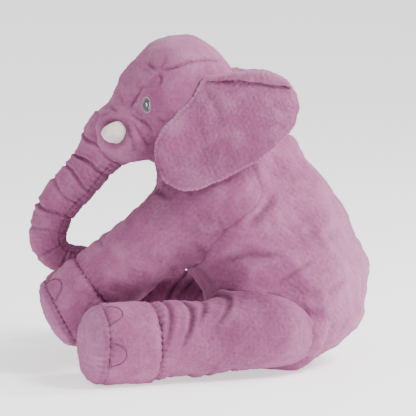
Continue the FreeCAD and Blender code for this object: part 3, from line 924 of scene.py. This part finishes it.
def build_eye(side, tree):
    """A dark stitched oval with a pale edge, and pale arcs and a glint stitched over it."""
    y, z = EYE
    centre, _ = onto(tree, (side * 300, y, z), (-side, 0, 0))
    normal = unit((side * 0.93, -0.36, 0.02))
    wide, tall = EYE_HALF
    name = "eye_" + SIDE_NAME[side]

    def oval(factor):
        across, up = wide * factor * side, tall * factor
        return lambda angle: np.array([across * math.cos(angle), up * math.sin(angle)])

    place = Place(centre, normal, np.cross((0, 0, 1), normal))
    rim = patch(name + "_rim_stitch", tree, place, oval(1.03), 1.2)
    iris = patch(name + "_iris_stitch", tree, place, oval(0.95), 2.0)
    made = [(rim, EYE_PALE, "eye_rim_thread"), (iris, EYE_DARK, "eye_iris_thread")]
    iris_tree = tree_of(iris)
    marks = [("glint", [(0.10, 0.24), (0.20, 0.02), (0.14, -0.12)], 1.0, EYE_GLINT),
             ("arc_high", [(-0.62, 0.22), (-0.36, 0.62), (0.02, 0.76)], 0.45, EYE_PALE),
             ("arc_right", [(0.66, 0.36), (0.76, 0.0), (0.62, -0.40)], 0.45, EYE_GLINT),
             ("arc_low", [(-0.42, -0.58), (-0.1, -0.76), (0.3, -0.72)], 0.45, EYE_PALE)]
    for label, line, thick, colour in marks:
        path, normals = [], []
        for x, y in smooth_path(np.array(line) * (wide, tall), 0.6):
            hit, _ = onto(iris_tree, place.out((x * side, y, 30)), -place.axes[2])
            path.append(hit)
            normals.append(place.axes[2])
        long = 2.6 if label == "glint" else 2.0
        bar = stitches(f"{name}_{label}", np.array(path), np.array(normals), long, thick, 1.1)
        made.append((bar, colour, "eye_rim_thread"))
    return made


# ---------------------------------------------------------------- trunk

# y, z and radius along the middle of the trunk, from inside the head to the tip
TRUNK = [(-262, 364, 37), (-277, 345, 36), (-289, 325, 34.5), (-303, 302, 33), (-324, 277, 32),
         (-345, 255, 31), (-359, 231, 30), (-367, 204, 29), (-366, 182, 27.5), (-354, 166, 25),
         (-334, 158, 22.5), (-312, 158, 20), (-303, 159, 18)]
TRUNK_AROUND, TRUNK_STEP = 52, 3.2
TRUNK_CUTS = (0.235, 0.555)     # shares of the trunk's length where one skin tucks into the next
# share of the trunk's length, depth, and how far round each ring fold reaches
TRUNK_FOLDS = [(0.115, 3.2, 0.9), (0.235, 4.2, 0.9), (0.335, 3.0, 1.0), (0.44, 2.0, 1.2), (0.555, 3.6, 0.9),
               (0.66, 2.2, 1.0), (0.77, 2.4, 1.0), (0.86, 1.8, 1.0)]


def trunk_line():
    """The trunk's middle line as points and radii at even steps, and the direction at each."""
    line = smooth_path(TRUNK, TRUNK_STEP)
    points = np.column_stack([np.zeros(len(line)), line[:, 0], line[:, 1]])
    ahead = np.gradient(points, axis=0)
    return points, line[:, 2], ahead / np.linalg.norm(ahead, axis=1)[:, None]


def trunk_ring(centre, direction, radius):
    """A ring of points square to the trunk's direction."""
    sideways, angles = (1.0, 0, 0), round_angles(TRUNK_AROUND)
    outwards = np.cross(direction, sideways)
    return centre + radius * (np.outer(np.cos(angles), outwards) + np.outer(np.sin(angles), sideways))


def trunk_piece(name, first, last):
    """The skin between two shares of the trunk's length, tucked in and closed at both ends."""
    points, radii, ahead = trunk_line()
    share = np.linspace(0, 1, len(points))
    keep = (share >= first - 0.02) & (share <= last + 0.012)
    rings = []
    for point, radius, direction, at in zip(points[keep], radii[keep], ahead[keep], share[keep]):
        tuck = 1.0
        if first > 0:
            tuck *= 0.92 + 0.08 * fade(at, first - 0.02, first + 0.012)
        if last < 1:
            tuck *= 0.92 + 0.08 * fade(last - at, -0.012, 0.016)
        rings.append(trunk_ring(point, direction, radius * tuck))
    if last >= 1:
        for push, shrink in ((3, 0.93), (5.5, 0.78), (6.5, 0.5)):
            rings.append(trunk_ring(points[-1] + ahead[-1] * push, ahead[-1], radii[-1] * shrink))
    poles = [ring.mean(axis=0) for ring in (rings[0], rings[-1])]
    return make_piece(name, np.vstack(rings + poles), ring_faces(len(rings), TRUNK_AROUND))


def press_trunk(piece, seed):
    """The ring folds across the trunk, deepest on top, and two gathered seams along its inner side."""
    skin = Skin(piece)
    points, radii, ahead = trunk_line()
    nearest = np.argmin(np.linalg.norm(skin.points[:, None, 1:] - points[None, :, 1:], axis=2), axis=1)
    share = nearest / (len(points) - 1)
    length = TRUNK_STEP * (len(points) - 1)
    offset = skin.points - points[nearest]
    exact = share * length + np.einsum("ij,ij->i", offset, ahead[nearest])
    outwards = np.cross(ahead[nearest], (1.0, 0, 0))
    angle = np.arctan2(offset[:, 0], np.einsum("ij,ij->i", offset, outwards))
    skin.lumps(seed, 0.8, 0.4)
    for number, (at, depth, reach) in enumerate(TRUNK_FOLDS):
        line = at * length + 2.2 * np.sin(angle * 2 + number * 1.7) + 1.5 * np.sin(angle * 3 + number)
        strength = 0.35 + 0.65 * (1 - fade(np.abs(angle), 0.9 * reach, 2.4 * reach))
        skin.fold(exact - line, strength, 2.5, depth, 0.45)
    for side in (LEFT, RIGHT):
        seam = wrap(angle - side * 2.25) * 28
        skin.fold(seam, np.ones(len(seam)), 1.8, 1.8, 0.5)
        skin.press(0.9 * np.exp(-(seam / 9) ** 2) * np.sin(exact * 0.75 + side), 0)
    skin.pile(seed + 3)
    skin.settle()


# ---------------------------------------------------------------- ears

EAR_LEAN = {LEFT: math.radians(23), RIGHT: math.radians(30)}
EAR_DROOP = {LEFT: 0.0, RIGHT: math.radians(14)}
# the visible edge in the ear's plane, from the top of its seam: back, up
EAR_EDGE = [(4, -12), (24, -8), (52, -4), (88, -3), (116, -11), (137, -25), (148, -44), (149, -62),
            (143, -84), (122, -112), (96, -133), (62, -152), (28, -169), (-1, -182), (-27, -185),
            (-48, -176), (-65, -158), (-73, -134), (-69, -110), (-54, -88), (-36, -66), (-16, -42)]
EAR_MIDDLE = np.array([36.0, -80.0])
EAR_THICK = 13.0
ROLL_RADIUS = 5.5
ROLL_END = np.array([-2.0, -13.0])      # where the rolled edge's free side starts, and which way is above it
ROLL_ABOVE = unit((15.0, 140.0))


class EarPlane(Place):
    """The ear's own frame: x back, y up along the lean, z outwards."""

    def __init__(self, side):
        lean, turn = EAR_LEAN[side], EAR_DROOP[side]
        upright = np.array([-side * math.sin(lean), 0, math.cos(lean)])
        out = np.array([side * math.cos(lean), 0, math.sin(lean)])
        back = np.array([0, math.cos(turn), 0]) - upright * math.sin(turn)
        up = upright * math.cos(turn) + np.array([0, math.sin(turn), 0])
        self.axes = np.array([back, up, out])
        self.origin = seam_centre("ear_flap_" + SIDE_NAME[side]) - out * EAR_THICK / 2


def ear_mesh(side):
    """A padded leaf whose top edge rolls over outwards, its free side straight: a sheet with a thickness."""
    plane = EarPlane(side)
    edge = smooth_path(EAR_EDGE, 3.5, closed=True)[:-1]
    around, rings = len(edge), 46
    outwards = edge - EAR_MIDDLE
    reach = np.linalg.norm(outwards, axis=1)
    bearing = outwards / reach[:, None]
    above = (edge - ROLL_END) @ ROLL_ABOVE
    roll = fade(above, 0, 9)
    flap = np.clip(above / np.maximum(bearing @ ROLL_ABOVE, 0.5) - ROLL_RADIUS, 0, 18)
    longest = reach - ROLL_RADIUS + roll * (math.pi * ROLL_RADIUS + flap) + (1 - roll) * ROLL_RADIUS
    sheet = np.zeros((rings + 1, around, 3))
    for i in range(rings + 1):
        run = longest * (i / rings) ** 0.85
        turn = np.clip((run - (reach - ROLL_RADIUS)) / ROLL_RADIUS, 0, math.pi * roll)
        straight = np.maximum(run - (reach - ROLL_RADIUS) - turn * ROLL_RADIUS, 0)
        flat = np.minimum(run, reach - ROLL_RADIUS)
        radial = flat + ROLL_RADIUS * np.sin(turn) + straight * np.cos(turn)
        lift = ROLL_RADIUS * (1 - np.cos(turn)) + straight * np.sin(turn)
        sheet[i, :, :2] = EAR_MIDDLE + bearing * radial[:, None]
        sheet[i, :, 2] = lift
    x, y = sheet[:, :, 0], sheet[:, :, 1]
    sheet[:, :, 2] += bow(x, y)
    along = np.gradient(sheet, axis=0)
    ring = np.roll(sheet, -1, axis=1) - np.roll(sheet, 1, axis=1)
    normal = np.cross(ring, along)
    normal[0] = (0, 0, 1)
    normal /= np.maximum(np.linalg.norm(normal, axis=2), 1e-9)[:, :, None]
    share = np.linspace(0, 1, rings + 1)[:, None]
    thick = (EAR_THICK / 2) * (1 - share ** 7) ** 0.5 * (1 - 0.42 * fade(share, 0.55, 0.95) * roll)
    front = sheet + normal * thick[:, :, None]
    back = sheet - normal * thick[:, :, None]
    points = [front[i] for i in range(1, rings)] + [sheet[rings]] + [back[i] for i in range(rings - 1, 0, -1)]
    poles = [front[0].mean(axis=0), back[0].mean(axis=0)]
    points = plane.out(np.vstack(points + [poles[0], poles[1]]))
    return points, ring_faces(2 * rings - 1, around)


def bow(x, y):
    """How far the ear's middle sheet stands off its plane: in at the seam, out at the back and low lobe."""
    seam = (x * 0.79 - y * 0.61 - 14) / 20
    at_seam = -9 * np.exp(-np.maximum(seam, 0) ** 2) * fade(y, -95, -45)
    lobe = 7 * np.sin(np.clip((y + 190) / 190, 0, 1) * math.pi) - 5 * fade(-y, 120, 190)
    return at_seam + lobe * fade(x, -40, 60) + 3 * np.sin(x / 34 + y / 60)


def press_ear(piece, side):
    """The rim's seam, painted light along the rim, two shallow folds, painted shade low down and painted
    light high up, and uneven wadding.
    """
    skin = Skin(piece)
    local = EarPlane(side).into(skin.points)
    x, y = local[:, 0], local[:, 1]
    edge = smooth_path(EAR_EDGE, 3.5, closed=True)
    reach = np.min(np.linalg.norm(local[:, None, :2] - edge[None, ::2], axis=2), axis=1)
    skin.fold(reach - 5, fade(-y, 0, 40) * 0.7, 2.0, 1.0, 0.5)
    # painted light along the rim
    skin.press(0, -0.5 * np.exp(-(reach / 4) ** 2))
    for start, end, depth in (((4, -20), (40, -110), 1.6), ((-10, -60), (4, -140), 1.2)):
        path = smooth_path([start, (np.add(start, end) / 2 + (6, -4)), end], 3)
        best, where = nearest_on(path, local[:, :2])
        skin.fold(best, fade(where, 0, 0.2) * fade(1 - where, 0, 0.4), 7, depth, 0.5)
    # painted shade low on the ear and painted light high on it
    skin.press(0, 0.22 * fade(-y, 85, 150) - 0.08 * fade(y, -90, -40))
    skin.lumps(41 + side, 1.3, 0.6)
    skin.pile(43 + side)
    skin.settle()


# ---------------------------------------------------------------- build

torso = make_piece("torso_skin", *torso_mesh())
head = make_piece("head_skin", *head_mesh())
ears = {side: make_piece(f"ear_{SIDE_NAME[side]}_skin", *ear_mesh(side)) for side in (LEFT, RIGHT)}
trunk_names = ("trunk_upper", "trunk_middle", "trunk_tip")
shares = (0.0, *TRUNK_CUTS, 1.0)
trunk = {name: trunk_piece(name + "_skin", a, b) for name, a, b in zip(trunk_names, shares, shares[1:])}
legs, clothes = build_legs()


def near_middle(points):
    """Held along the seam down the middle, and over the flat seat."""
    held = 1 - fade(np.abs(points[:, 0]), 2, 7)
    return np.maximum(held, 1 - fade(points[:, 2], 1, 6))


# how wide, in millimetres, the corner is rounded where two skins meet
SOFT = {"front": 56, "hind": 62, "neck": 30, "trunk": 26, "ear": 14}

for leg in LEGS:
    melt(torso, legs[leg.name]["leg"], SOFT[leg.kind], 14)
melt(torso, head, SOFT["neck"])
melt(head, trunk["trunk_upper"], SOFT["trunk"])
for piece in ears.values():
    melt(head, piece, SOFT["ear"], 6)

clothes[torso] = (near_middle(points_of(torso)), LIMB_CAP)
clothes[head] = (1 - fade(np.abs(points_of(head)[:, 0]), 2, 6), HEAD_CAP)
inflate(clothes)

for piece in (torso, head, *ears.values(), *trunk.values()):
    subdivide(piece)
press_torso(torso)
press_head(head)
for side, piece in ears.items():
    press_ear(piece, side)
for number, piece in enumerate(trunk.values()):
    press_trunk(piece, 61 + 5 * number)

finish_piece(torso, LILAC, "lilac_plush", "torso_cover_left", "torso_cover_right", "base_panel",
             "torso_stuffing")
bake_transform(torso)
finish_piece(head, LILAC, "lilac_plush", "head_cover_left", "head_cover_right", "head_stuffing")
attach(head, "head")

for side, piece in ears.items():
    name = SIDE_NAME[side]
    finish_piece(piece, LILAC, "lilac_plush", f"ear_{name}_front_panel", f"ear_{name}_back_panel",
                 f"ear_{name}_wadding")
    plane = EarPlane(side)
    start, end = plane.out((2, -30, 0)) * MM, plane.out((24, -47, 0)) * MM
    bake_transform(piece)

for number, (name, piece) in enumerate(trunk.items()):
    nodes = [name + "_cover", name + "_stuffing"] + (["trunk_end_patch"] if name == "trunk_tip" else [])
    finish_piece(piece, LILAC, "lilac_plush", *nodes)
    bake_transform(piece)

for seed, leg in enumerate(LEGS):
    parts = legs[leg.name]
    for part, press in (("leg", press_leg), ("foot", press_foot), ("sole", press_sole)):
        piece = parts[part]
        subdivide(piece)
        skin = Skin(piece)
        press(leg, skin, 71 + 5 * seed)
        skin.lumps(72 + 5 * seed, 1.3 if part == "leg" else 0.7, 0.5)
        skin.pile(73 + 5 * seed)
        skin.settle(floor=0.4)
        set_points(piece, lean_under(leg, points_of(piece)))
    side = SIDE_NAME[leg.side]
    finish_piece(parts["leg"], LILAC, "lilac_plush", f"{leg.kind}_leg_{side}_cover",
                 f"{leg.kind}_leg_{side}_stuffing")
    finish_piece(parts["foot"], LILAC, "lilac_plush", f"{leg.kind}_foot_{side}_cover")
    finish_piece(parts["sole"], SOLE, "sole_plush", f"{leg.kind}_sole_{side}")
    for number, (nail, thread_piece) in enumerate(build_toenails(leg, parts["foot"])):
        finish_piece(nail, NAIL, "toenail_felt", *([f"{leg.kind}_toenails_{side}"] if number == 0 else []))
        finish_piece(thread_piece, STITCH_AND_GROOVE_SHADE, "toenail_felt")
        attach(nail, leg.name)
        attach(thread_piece, leg.name)
    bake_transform(parts["leg"])
    for part in ("foot", "sole"):
        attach(parts[part], leg.name)

head_tree = tree_of(head)
for side in (LEFT, RIGHT):
    name = SIDE_NAME[side]
    tusk = build_tusk(side)
    finish_piece(tusk, TUSK, "tusk_felt", f"tusk_{name}_cover", f"tusk_{name}_stuffing")
    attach(tusk, "head")
    for piece, material, slot in build_eye(side, head_tree):
        nodes = [f"eye_{name}_{part}" for part in ("rim", "iris") if f"_{part}_" in piece.name]
        finish_piece(piece, material, slot, *nodes)
        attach(piece, "head")


# ---------------------------------------------------------------- stage, light and camera

AIM = Vector((0, -0.1228, 0.2384))
CAMERA_FAR, CAMERA_SIDE, CAMERA_UP = 8.0, 90.0, 8.5    # metres, and degrees round from the front and up
FLOOR_HALF = 6000.0
FLOOR_GLOW, SKY_LIGHT = 0.9, 0.82
VIEW_HALF = 0.3187      # metres at the aim that reach from the middle of the picture to its side


def add_light(name, place, size, power):
    light = bpy.data.lights.new(name, "AREA")
    light.shape, light.size, light.energy = "DISK", size, power
    lamp = bpy.data.objects.new(name, light)
    lamp.location = place
    lamp.rotation_mode = "QUATERNION"
    lamp.rotation_quaternion = (AIM - Vector(place)).to_track_quat("-Z", "Y")
    bpy.context.scene.collection.objects.link(lamp)


def build_stage():
    """A pale floor that glows weakly, an even sky and three lamps."""
    half = FLOOR_HALF
    floor = make_piece("floor", [(-half, -half, 0), (half, -half, 0), (half, half, 0), (-half, half, 0)],
                       [(0, 1, 2, 3)])
    material, tree, shader, place = blank_material("pale_floor")
    tone = mixed(tree, noise(tree, place, 3), (0.93, 0.93, 0.93), (0.96, 0.96, 0.96))
    tree.links.new(tone, shader.inputs["Base Color"])
    set_inputs(shader, {"Roughness": 0.8, "Emission Color": (1, 1, 1, 1), "Emission Strength": FLOOR_GLOW})
    floor.data.materials.append(material)
    world = bpy.data.worlds.new("studio")
    world.use_nodes = True
    set_inputs(world.node_tree.nodes["Background"], {"Color": (1, 1, 1, 1), "Strength": SKY_LIGHT})
    bpy.context.scene.world = world
    add_light("key", (1.0, 1.7, 2.4), 1.0, 112)
    add_light("back", (-0.5, 2.1, 1.7), 1.1, 66)
    add_light("front", (0.6, -2.4, 1.4), 1.6, 16)


def build_camera():
    camera = bpy.data.objects.new("camera", bpy.data.cameras.new("camera"))
    side, up = math.radians(CAMERA_SIDE), math.radians(CAMERA_UP)
    back = Vector((math.sin(side) * math.cos(up), -math.cos(side) * math.cos(up), math.sin(up)))
    camera.location = AIM + back * CAMERA_FAR
    camera.rotation_mode = "QUATERNION"
    camera.rotation_quaternion = back.to_track_quat("Z", "Y")
    camera.data.sensor_width = 36
    camera.data.lens = 18 / (VIEW_HALF / CAMERA_FAR)
    bpy.context.scene.collection.objects.link(camera)
    bpy.context.scene.camera = camera


build_stage()
build_camera()
